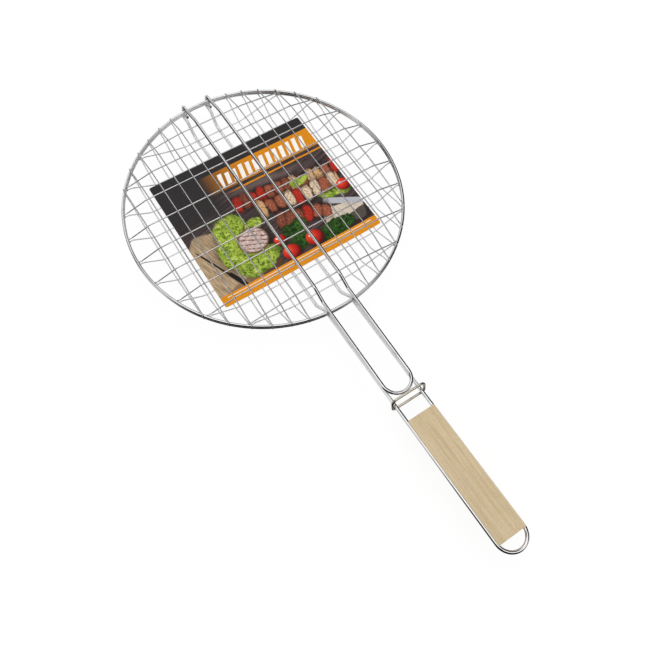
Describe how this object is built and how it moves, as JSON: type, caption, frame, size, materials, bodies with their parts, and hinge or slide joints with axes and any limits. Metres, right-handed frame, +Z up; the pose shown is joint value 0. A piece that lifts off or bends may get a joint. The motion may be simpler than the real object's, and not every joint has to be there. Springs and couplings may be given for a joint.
{
  "type": "grill basket",
  "caption": "Round hinged wire grill basket with a long wooden grip, a folding lid and a sliding ring that locks the lid's loop to the handle rails.",
  "frame": {"origin": "centre of the round basket, on the plane the lower frame wires rest on", "axes": "+X from the hinge along the handle, +Y across the basket, +Z up out of the lower half towards the lid"},
  "size_m": [0.6782, 0.35, 0.0394],
  "materials": {
    "rim_chrome": "bright plated, 3.5 mm wire",
    "frame_chrome": "bright plated, 4.2 mm wire",
    "grid_chrome": "bright plated, 1.6 mm wire, slightly duller at the welds",
    "ring_nickel": "warm nickel, satin",
    "handle_wood": "bare pale hardwood, sanded, fine lengthwise grain",
    "printed_card": "printed coated card: dark band, orange band, food picture"
  },
  "bodies": {
    "basket": {"lower_rim": "rim_chrome", "lower_frame": "frame_chrome", "lower_long_wire_01": "grid_chrome", "lower_long_wire_02": "grid_chrome", "lower_long_wire_03": "grid_chrome", "lower_long_wire_04": "grid_chrome", "lower_long_wire_05": "grid_chrome", "lower_long_wire_06": "grid_chrome", "lower_long_wire_07": "grid_chrome", "lower_long_wire_08": "grid_chrome", "lower_long_wire_09": "grid_chrome", "lower_long_wire_10": "grid_chrome", "lower_long_wire_11": "grid_chrome", "lower_long_wire_12": "grid_chrome", "lower_cross_wire_01": "grid_chrome", "lower_cross_wire_02": "grid_chrome", "lower_cross_wire_03": "grid_chrome", "lower_cross_wire_04": "grid_chrome", "lower_cross_wire_05": "grid_chrome", "lower_cross_wire_06": "grid_chrome", "lower_cross_wire_07": "grid_chrome", "lower_cross_wire_08": "grid_chrome", "lower_cross_wire_09": "grid_chrome", "wood_handle": "handle_wood", "display_card": "printed_card"},
    "lid": {"upper_rim": "rim_chrome", "upper_frame": "frame_chrome", "upper_long_wire_01": "grid_chrome", "upper_long_wire_02": "grid_chrome", "upper_long_wire_03": "grid_chrome", "upper_long_wire_04": "grid_chrome", "upper_long_wire_05": "grid_chrome", "upper_long_wire_06": "grid_chrome", "upper_long_wire_07": "grid_chrome", "upper_long_wire_08": "grid_chrome", "upper_long_wire_09": "grid_chrome", "upper_long_wire_10": "grid_chrome", "upper_long_wire_11": "grid_chrome", "upper_long_wire_12": "grid_chrome", "upper_cross_wire_01": "grid_chrome", "upper_cross_wire_02": "grid_chrome", "upper_cross_wire_03": "grid_chrome", "upper_cross_wire_04": "grid_chrome", "upper_cross_wire_05": "grid_chrome", "upper_cross_wire_06": "grid_chrome", "upper_cross_wire_07": "grid_chrome", "upper_cross_wire_08": "grid_chrome", "upper_cross_wire_09": "grid_chrome"},
    "latch": {"latch_ring": "ring_nickel"}
  },
  "joints": [
    {"name": "lid_hinge", "type": "hinge", "parent": "basket", "child": "lid", "pos_m": [-0.17325, 0, 0.02144], "axis": [0, -1, 0], "range_deg": [0, 165]},
    {"name": "latch_slide", "type": "slide", "parent": "basket", "child": "latch", "axis": [0.9989, 0, 0.0462], "range_m": [-0.0415, 0.0183]}
  ]
}
